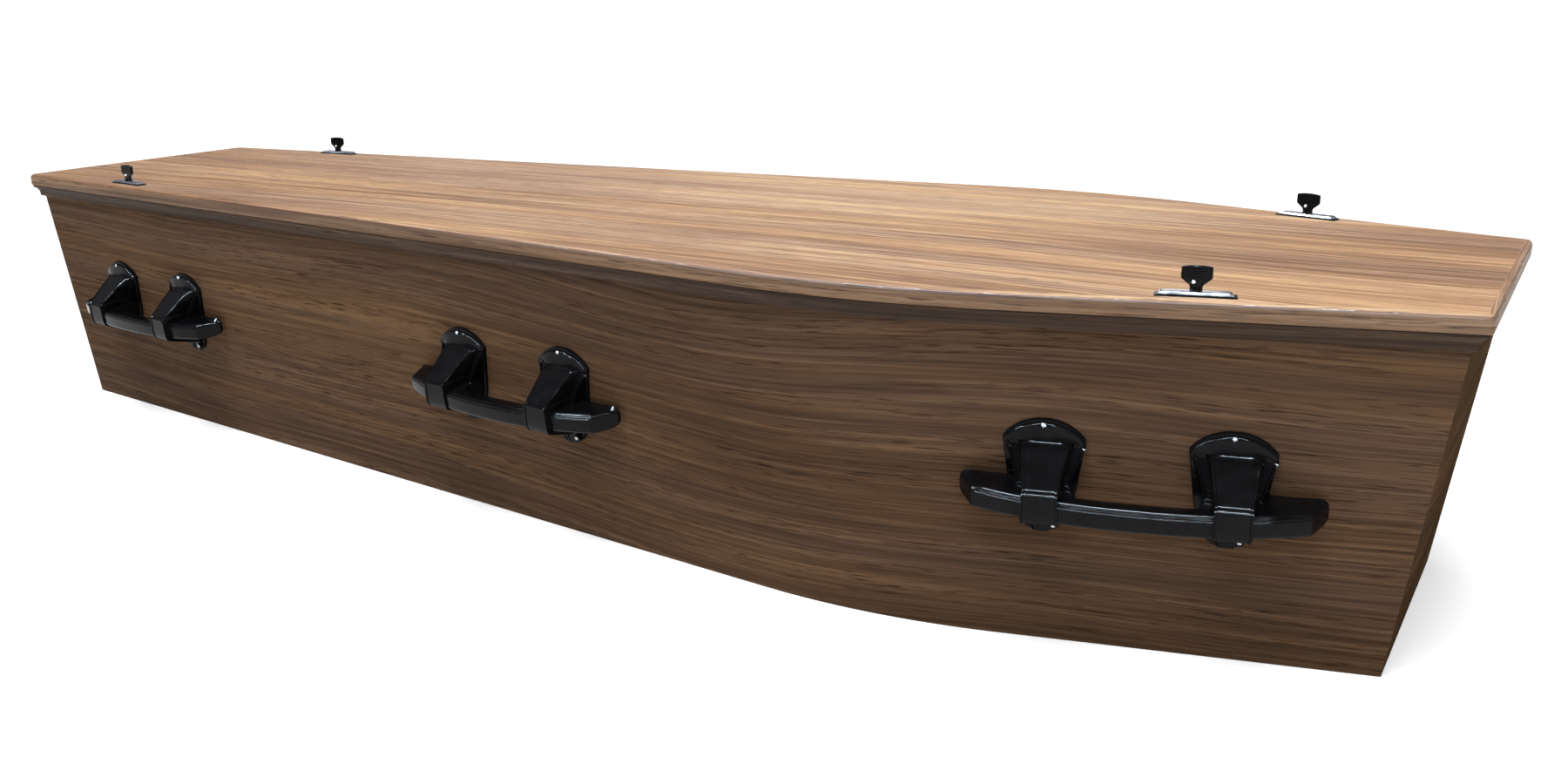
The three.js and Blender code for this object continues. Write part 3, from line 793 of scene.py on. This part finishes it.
def bracket_shell():
    """A fan shaped plate with a raised cap, ribbed webs that slope out, and a tongue over the bar."""
    rise = PLATE_TOP - PLATE_SHOULDER
    radius = (PLATE_HALF_WIDTH ** 2 + rise ** 2) / (2 * rise)

    def drop(u):
        return radius - math.sqrt(max(radius ** 2 - u ** 2, 0.0))

    def row(level, bow, places, heights):
        """Points of one row, whose level is the one at its middle and whose bow follows the top arc."""
        shift = ARM_SHIFT * ease(-level, *ARM_SHIFT_LEVELS)
        points = []
        for hand in (1, -1):
            sided = [(hand * u + shift * (v > ARM_START), v) for u, v in zip(places, heights)]
            points += sided if hand > 0 else sided[::-1]
        return [(u, level - bow * drop(u), max(v, 0.0)) for u, v in points]

    def cap_row(level, bow, heights):
        half = plate_half_width(level - bow * rise)
        shares = (0.97, 0.93, 0.91, 0.88, 0.86, 0.80, 0.72, 0.62, 0.56, 0.5, 0.3, 0.14)
        places = [half, half] + [half * share for share in shares]
        edge, mid, front = heights
        tall = [0.0, edge, blend(edge, mid, 0.7), mid, mid, mid, mid, mid]
        tall += [blend(mid, front, share) for share in (0.3, 0.6, 0.75, 0.85)]
        return row(level, bow, places, tall + [front, front])

    rings = [cap_row(PLATE_TOP - down, bow, heights) for down, bow, *heights in CAP_ROWS]
    for level in LOWER_LEVELS:
        front_u, front, rib_u, rib = (column(level, i, TONGUE) for i in range(4))
        bow = LOWER_BOW * (1 - ease(-level, *LOWER_BOW_LEVELS))
        half = plate_half_width(level - bow * rise)
        small = min(half / LOBE_HALF, 1.0)
        edge = PLATE_EDGE * (0.6 + 0.4 * small)
        flat = PLATE_FLAT * (0.7 + 0.3 * small)
        rib_u = min(rib_u, half - 0.0012 * small)
        front_u = min(front_u, rib_u - 0.004 * small)
        rib, front = max(rib, flat), max(front, flat)
        web = max(rib - WEB_DROP * ease(-level, *WEB_DROP_LEVELS), flat)
        inner = min(web + INNER_RISE, front)
        wall = max(front - WALL_DROP, inner)
        ridge = RIDGE_WIDTH * small
        rib_edge = min(rib_u + 0.0006 * small, half - 0.0010 * small)
        places = [half, half, half - 0.0009 * small, rib_edge, rib_u]
        places += [rib_u - share * ridge for share in (1.0, 1.5, 1.9)]
        places += [blend(front_u, rib_u, 0.30), blend(front_u, rib_u, 0.06), front_u]
        places += [front_u - share * ridge for share in (1.2, 1.7, 2.1)]
        low = front - 0.0012 * small
        heights = [0.0, edge, flat, flat, rib, rib, web, web, inner, wall, front, front, low, low]
        rings.append(row(level, bow, places, heights))
    shell = Shell()
    shell.loft(rings)
    return shell


def lathe(profile, steps, cross=None):
    """Turns a profile of radius and height round the Z axis; cross may sink points for a driver's recess."""
    shell = Shell()
    rings = []
    for radius, height in profile:
        ring = []
        for k in range(steps):
            angle = 2 * math.pi * k / steps
            x, y = radius * math.cos(angle), radius * math.sin(angle)
            ring.append((x, y, height - (cross(x, y) if cross else 0.0)))
        rings.append(ring)
    shell.loft(rings)
    return shell


def screw_shell():
    """Domed head of a small screw, with a cross recess."""
    def recess(x, y):
        inside = max(abs(x), abs(y)) < RECESS_REACH and min(abs(x), abs(y)) < RECESS_ARM
        return RECESS_DEPTH if inside else 0.0

    profile = [(SCREW_RADIUS, 0.0), (SCREW_RADIUS, SCREW_RIM)]
    steps = 10
    for i in range(1, steps + 1):
        angle = math.pi / 2 * i / (steps + 0.5)
        profile.append((SCREW_RADIUS * math.cos(angle), SCREW_RIM + SCREW_HEIGHT * math.sin(angle)))
    return lathe(profile, 48, recess)


def screw_boss_shell():
    """Short round post that carries the lower screw, with a shallow recess round the head."""
    radius, depth = SCREW_BOSS
    profile = [
        (radius, -depth), (radius - 0.0004, -0.0004), (radius - 0.0008, 0.0), (SCREW_RADIUS + 0.0006, 0.0),
        (SCREW_RADIUS + 0.0003, -0.0005), (0.0004, -0.0006),
    ]
    return lathe(profile, 32)


def add_handles(plastic, steel):
    half = BRACKET_SPACING / 2
    places = {
        "foot": (LEG, HANDLES_FROM_FOOT[0] + half),
        "middle": (LEG, HANDLES_FROM_FOOT[1] + half),
        "head": (HEAD, HEAD_HANDLE_PAST_SHOULDER + half),
    }
    bar = bar_shell()
    brackets = [cut_bracket(bracket_shell(), shift) for shift in (-half, half)]
    screw, boss = screw_shell(), screw_boss_shell()
    for place, (stretch, distance) in places.items():
        for side, sign in (("near", -1), ("far", 1)):
            frame_of = handle_frame(stretch, distance)
            if sign > 0:
                frame_of = Matrix.Scale(-1, 4, (0, 1, 0)) @ frame_of
            name = f"handle_{side}_{place}"
            shell = Shell()
            shell.add(bar, frame_of @ Matrix.Translation((BAR_SHIFT, 0, 0)))
            shell.piece(f"{name}_bar_detail", [plastic], "black_plastic", [f"{name}_bar"])
            screws = Shell()
            for i, (shift, bracket) in enumerate(list(zip((-half, half), brackets))[::-sign], 1):
                matrix = frame_of @ Matrix.Translation((shift, 0, 0))
                shell = Shell()
                shell.add(bracket, matrix)
                shell.add(boss, matrix @ Matrix.Translation(LOWER_SCREW))
                shell.piece(f"{name}_bracket_{i}_detail", [plastic], "black_plastic", [f"{name}_bracket_{i}"])
                screws.add(screw, matrix @ Matrix.Translation(TOP_SCREW))
                screws.add(screw, matrix @ Matrix.Translation(LOWER_SCREW))
            screws.piece(f"{name}_screws", [steel], "bright_metal")


MERGE_WITHIN = 1e-6


def cut_bracket(shell, shift):
    """Cuts the way for the bar through a bracket that stands at a shift along it."""
    objects = []
    for name, source, matrix in (("bracket", shell, Matrix.Identity(4)),
                                 ("cutter", bar_shell(GAP), Matrix.Translation((BAR_SHIFT - shift, 0, 0)))):
        moved = Shell()
        moved.add(source, matrix)
        mesh = bpy.data.meshes.new(name)
        mesh.from_pydata(moved.points, [], moved.faces)
        tidy = bmesh.new()
        tidy.from_mesh(mesh)
        bmesh.ops.remove_doubles(tidy, verts=tidy.verts, dist=MERGE_WITHIN)
        bmesh.ops.recalc_face_normals(tidy, faces=tidy.faces)
        tidy.to_mesh(mesh)
        tidy.free()
        objects.append(bpy.data.objects.new(name, mesh))
        bpy.context.collection.objects.link(objects[-1])
    bracket, cutter = objects
    modifier = bracket.modifiers.new("way", "BOOLEAN")
    modifier.operation, modifier.object, modifier.solver = "DIFFERENCE", cutter, "EXACT"
    evaluated = bracket.evaluated_get(bpy.context.evaluated_depsgraph_get())
    mesh = evaluated.to_mesh()
    cut = Shell()
    cut.points = [tuple(v.co) for v in mesh.vertices]
    for polygon in mesh.polygons:
        cut.face(list(polygon.vertices))
    evaluated.to_mesh_clear()
    for item in objects:
        data = item.data
        bpy.data.objects.remove(item)
        bpy.data.meshes.remove(data)
    return cut


# Lid fasteners. Local axes: X along the lid's edge, Z up from the lid

# Inset from the plate's outline and height of each row, and the bands between rows that are painted black:
# painted shadow along the plate's foot and a painted dark reflection just below its top
PLATE_ROWS = [
    (0.0, 0.0), (0.0001, 0.0006), (0.0010, 0.0013), (0.0011, 0.0016), (0.0017, 0.0033), (0.0020, 0.0037),
    (0.0025, 0.0039), (0.0033, PLATE_HEIGHT),
]
PLATE_PAINTED_SHADE_ROWS = (0, 1, 2, 4)
# Radius and height along the hub's profile
HUB_PROFILE = [
    (0.0046, 0.0), (0.0052, 0.0002), (0.0054, 0.0008), (0.0050, 0.0013), (0.0043, 0.0015), (0.0043, 0.0019),
    (0.0048, 0.0021), (0.0047, 0.0024), (0.0040, 0.0025),
]


def fastener_plate_shell():
    """Waisted plate with a steep bevel, whose black foot is painted shadow under its edge that shows most at
    the two ends, and whose black band just below the top is a painted dark reflection.
    """
    length, width, waist = PLATE_LENGTH / 2, FASTENER_WIDTH / 2, FASTENER_WAIST / 2
    steps = 24

    def row(inset, height):
        ring = []
        for i in range(steps + 1):
            share = 2 * i / steps - 1
            x = share * (length - PLATE_END_SLOPE * inset)
            y = blend(waist, width, share * share) - inset
            ring.append((x, y, height))
        return ring[::-1] + [(x, -y, z) for x, y, z in ring]

    shell = Shell()
    rings = [row(inset, height) for inset, height in PLATE_ROWS]
    # Faces of the black bands take the plastic: painted shadow at the plate's foot and a painted dark
    # reflection just below its top.
    shell.loft(rings, slot=lambda i, j: int(i in PLATE_PAINTED_SHADE_ROWS))
    return shell


def turn_shell():
    """Black paddle with a flat top, a recessed face with cross ridges on each side, and a stepped neck."""
    half, neck, foot = TURN_WIDTH / 2, TURN_NECK / 2, TURN_FOOT / 2
    right = [
        (foot, 0.0), (neck - 0.0006, TURN_NECK_TOP - 0.0012), (neck, TURN_NECK_TOP), (neck + 0.0014, 0.0060),
        (half - 0.0016, TURN_SHOULDER - 0.0002), (half - 0.0004, TURN_SHOULDER + 0.0008),
        (half, TURN_SHOULDER + 0.0020), (half, 0.0140),
        (half - 0.0001, TURN_TOP - TURN_CROWN - TURN_CORNER),
    ]
    flat = half - TURN_CORNER
    right += arc((flat, TURN_TOP - TURN_CROWN - TURN_CORNER), TURN_CORNER, 15, 90, 5)
    for i in range(1, 5):
        x = flat * (1 - i / 5)
        right.append((x, TURN_TOP - TURN_CROWN * (x / flat) ** 2))
    outline = right + [(0.0, TURN_TOP)] + [(-x, z) for x, z in reversed(right)]
    thick = TURN_THICKNESS / 2

    def row(inset, y):
        ring = []
        for x, z in outline:
            share = 1 - inset / math.hypot(x, z - TURN_MIDDLE)
            ring.append((x * share, y, max(TURN_MIDDLE + (z - TURN_MIDDLE) * share, 0.0)))
        return ring

    shell = Shell()
    face = [(0.0, 0.0009), (0.0003, 0.0004), (0.0009, 0.0), (0.0018, 0.0), (0.0023, 0.0005)]
    front = [row(inset, thick - sunk) for inset, sunk in face]
    back = [row(inset, sunk - thick) for inset, sunk in reversed(face)]
    shell.loft(back + front)

    ridge = Shell()
    size = TURN_RIDGE_SIZE
    ends = (-TURN_RIDGE_HALF, TURN_RIDGE_HALF)
    ridge.loft([[(x, 0.0, -size), (x, size, -size / 3), (x, size, size / 3), (x, 0.0, size)] for x in ends])
    for k in range(TURN_RIDGES):
        z = TURN_RIDGE_FIRST + TURN_RIDGE_STEP * k
        for hand in (-1, 1):
            turn = Matrix.Rotation(math.pi if hand < 0 else 0.0, 4, "Z")
            shell.add(ridge, turn @ Matrix.Translation((0.0, thick - size, z)))
    return shell


def boss_shell():
    """Turned black hub between the plate and the paddle."""
    return lathe(HUB_PROFILE, 40)


def pin_shell():
    """The two domed ends of the pin that goes through the paddle's neck."""
    profile = [(PIN_RADIUS, -0.0004)]
    steps = 8
    for i in range(steps + 1):
        angle = math.pi / 2 * i / (steps + 0.5)
        profile.append((PIN_RADIUS * math.cos(angle), PIN_HEIGHT * math.sin(angle)))
    dome = lathe(profile, 24)
    shell = Shell()
    for hand in (-1, 1):
        turn = Matrix.Rotation(-hand * math.pi / 2, 4, "X")
        place = (PIN_PLACE[0], hand * (TURN_THICKNESS / 2 - 0.0003), PIN_PLACE[1])
        shell.add(dome, Matrix.Translation(place) @ turn)
    return shell


def add_fasteners(plastic, bright):
    push = SIDE_SPLAY + LID_OVERHANG - FASTENER_INSET
    plate, turn, boss, pin = fastener_plate_shell(), turn_shell(), boss_shell(), pin_shell()
    for place, stretch, x in (("foot", LEG, FASTENERS_FROM_FOOT[0]), ("head", HEAD, FASTENERS_FROM_FOOT[1])):
        for side, sign in (("near", -1), ("far", 1)):
            y = sign * stretch.half_width(x, push)
            angle = sign * math.atan2(stretch.along.y, stretch.along.x)
            stand = Matrix.Translation((x - MIDDLE, y, BOX_HEIGHT + LID_THICKNESS + GAP))
            on_lid = stand @ Matrix.Rotation(angle, 4, "Z")
            on_plate = on_lid @ Matrix.Translation((0, 0, PLATE_HEIGHT + GAP))
            lifted = on_plate @ Matrix.Translation((0, 0, PADDLE_LIFT))
            name = f"fastener_{side}_{place}"
            for part, source, matrix, materials, slot, nodes in (
                ("plate_detail", plate, on_lid, [bright, plastic], "bright_metal", [f"{name}_plate"]),
                ("boss", boss, on_plate, [plastic], "black_plastic", []),
                ("paddle", turn, lifted, [plastic], "black_plastic", [f"{name}_turn"]),
                ("pin", pin, on_plate, [bright], "bright_metal", []),
            ):
                shell = Shell()
                shell.add(source, matrix)
                shell.piece(f"{name}_{part}", materials, slot, nodes)


# Camera, floor and light

WORLD_LOW = (0.19, 0.21, 0.25)
WORLD_HIGH = (0.50, 0.50, 0.52)
WORLD_HIGH_AT = 0.9
FLOOR_REACH = 400.0
FLOOR_WHITE = 0.9
FLOOR_GLOW = 0.3
SUN_POWER = 2.45
SUN_WIDTH = 34.0
SUN_FROM = (0.0, -0.36, 1.0)
GLINT_COLOUR = (0.72, 0.88, 1.0)
# Name, place, what it points at, size, power and whether it only gives glints
LAMPS = [
    ("tube_near", (0.9, -1.9, 2.3), (0.9, -0.25, 0.2), (2.6, 0.10), 22.0, False),
    ("glint_near", (0.1, -1.9, 2.3), (0.0, -0.25, 0.2), (4.6, 0.06), 1000.0, True),
    ("glint_edge", (-1.1, -0.2, 2.3), (0.3, -0.3, 0.3), (0.5, 0.3), 60.0, True),
    ("tube_head", (2.6, -1.2, 1.5), (0.7, -0.2, 0.2), (0.10, 1.4), 6.0, False),
    ("panel_back", (-2.6, 5.0, 1.3), (0.0, 0.0, 0.3), (4.2, 1.9), 18.0, False),
    ("over_shoulder", (0.45, 0.3, 2.2), (0.45, 0.0, 0.3), (1.2, 0.9), 12.0, False),
]


def add_camera():
    yaw, pitch, roll = (math.radians(v) for v in (CAMERA_YAW, CAMERA_PITCH, CAMERA_ROLL))
    forward = Vector((-math.sin(yaw) * math.cos(pitch), math.cos(yaw) * math.cos(pitch), math.sin(pitch)))
    right = forward.cross(Vector((0, 0, 1))).normalized()
    up = right.cross(forward)
    turned_right = right * math.cos(roll) + up * math.sin(roll)
    turned_up = up * math.cos(roll) - right * math.sin(roll)
    data = bpy.data.cameras.new("camera")
    data.sensor_width = SENSOR_WIDTH
    data.lens = SENSOR_WIDTH * FOCAL_PX / PHOTO_WIDTH
    data.shift_x = (PHOTO_WIDTH / 2 - PRINCIPAL_PX[0]) / PHOTO_WIDTH
    data.shift_y = (PRINCIPAL_PX[1] - PHOTO_HEIGHT / 2) / PHOTO_WIDTH
    data.clip_start = CLIP_START
    camera = bpy.data.objects.new("camera", data)
    axes = Matrix((turned_right, turned_up, -forward)).transposed().to_4x4()
    camera.matrix_world = Matrix.Translation(CAMERA_PLACE) @ axes
    bpy.context.collection.objects.link(camera)
    bpy.context.scene.camera = camera


def area_light(name, place, target, size, power, glints_only):
    data = bpy.data.lights.new(name, "AREA")
    data.shape = "RECTANGLE"
    data.size, data.size_y = size
    data.energy = power
    light = bpy.data.objects.new(name, data)
    light.location = place
    light.rotation_euler = (Vector(target) - Vector(place)).to_track_quat("-Z", "Y").to_euler()
    if glints_only:
        light.visible_diffuse = False
        data.color = GLINT_COLOUR
    bpy.context.collection.objects.link(light)


def add_floor():
    """Pale floor that glows a little, which keeps the shadow under the coffin faint."""
    mesh = bpy.data.meshes.new("floor")
    corners = [(-1, -1), (1, -1), (1, 1), (-1, 1)]
    mesh.from_pydata([(x * FLOOR_REACH, y * FLOOR_REACH, 0) for x, y in corners], [], [(0, 1, 2, 3)])
    floor = bpy.data.objects.new("floor", mesh)
    bpy.context.collection.objects.link(floor)
    g = Graph("floor")
    g.shader.inputs["Base Color"].default_value = (FLOOR_WHITE, FLOOR_WHITE, FLOOR_WHITE, 1.0)
    g.shader.inputs["Emission Color"].default_value = (1.0, 1.0, 1.0, 1.0)
    g.shader.inputs["Emission Strength"].default_value = FLOOR_GLOW
    g.shader.inputs["Roughness"].default_value = 0.9
    g.shader.inputs["Specular IOR Level"].default_value = 0.0
    mesh.materials.append(g.material)


def add_world():
    """Dim surroundings that are lighter overhead."""
    world = bpy.data.worlds.new("studio")
    bpy.context.scene.world = world
    world.use_nodes = True
    tree = world.node_tree
    place = tree.nodes.new("ShaderNodeTexCoord")
    split = tree.nodes.new("ShaderNodeSeparateXYZ")
    ramp = tree.nodes.new("ShaderNodeValToRGB")
    low, high = ramp.color_ramp.elements
    low.position, low.color = 0.0, (*WORLD_LOW, 1.0)
    high.position, high.color = WORLD_HIGH_AT, (*WORLD_HIGH, 1.0)
    tree.links.new(place.outputs["Generated"], split.inputs[0])
    tree.links.new(split.outputs["Z"], ramp.inputs[0])
    tree.links.new(ramp.outputs[0], tree.nodes["Background"].inputs["Color"])


def add_lights():
    data = bpy.data.lights.new("ceiling", "SUN")
    data.energy = SUN_POWER
    data.angle = math.radians(SUN_WIDTH)
    sun = bpy.data.objects.new("ceiling", data)
    sun.rotation_euler = Vector(SUN_FROM).to_track_quat("Z", "Y").to_euler()
    sun.visible_glossy = False
    bpy.context.collection.objects.link(sun)
    for lamp in LAMPS:
        area_light(*lamp)


def build():
    side = walnut("walnut_side", "U", "V", DARK_WALNUT, seed=1.3, shine=0.005, wander=0.3, spread=0.68,
                  bold=0.6, arch=(1.20, 0.24, 0.022))
    end = walnut("walnut_end", "Y", "Z", END_WALNUT, seed=5.1, shine=0.0)
    base = walnut("walnut_base", "X", "Y", DARK_WALNUT, seed=3.7)
    top = walnut("walnut_lid", "U", "V", LIGHT_WALNUT, seed=2.4, shine=0.025, pore_share=0.6, wander=0.35,
                 spread=0.52, bold=0.85)
    edge = walnut("walnut_lid_edge", "U", "V", EDGE_WALNUT, seed=6.6, wander=0.03)
    line = walnut("walnut_lid_line", "U", "V", LINE_WALNUT, seed=9.4, gloss=0.25, shine=0.4, wander=0.03)
    strip = walnut("walnut_strip", "U", "V", STRIP_WALNUT, seed=8.2, wander=0.03)
    plastic = black_plastic("black_plastic")
    bright = chrome("chrome")
    for node in ("foot_board", "head_board"):
        set_material(node, end)
    set_material("base_board", base)
    for name, sign in (("near", -1), ("far", 1)):
        add_side_board(name, sign, side, end)
    add_rims(strip, end)
    add_lid(top, edge, line)
    add_handles(plastic, bright)
    add_fasteners(plastic, bright)


build()
add_camera()
add_floor()
add_world()
add_lights()
bpy.context.scene.view_settings.view_transform = "Standard"
bpy.context.scene.view_settings.look = "None"
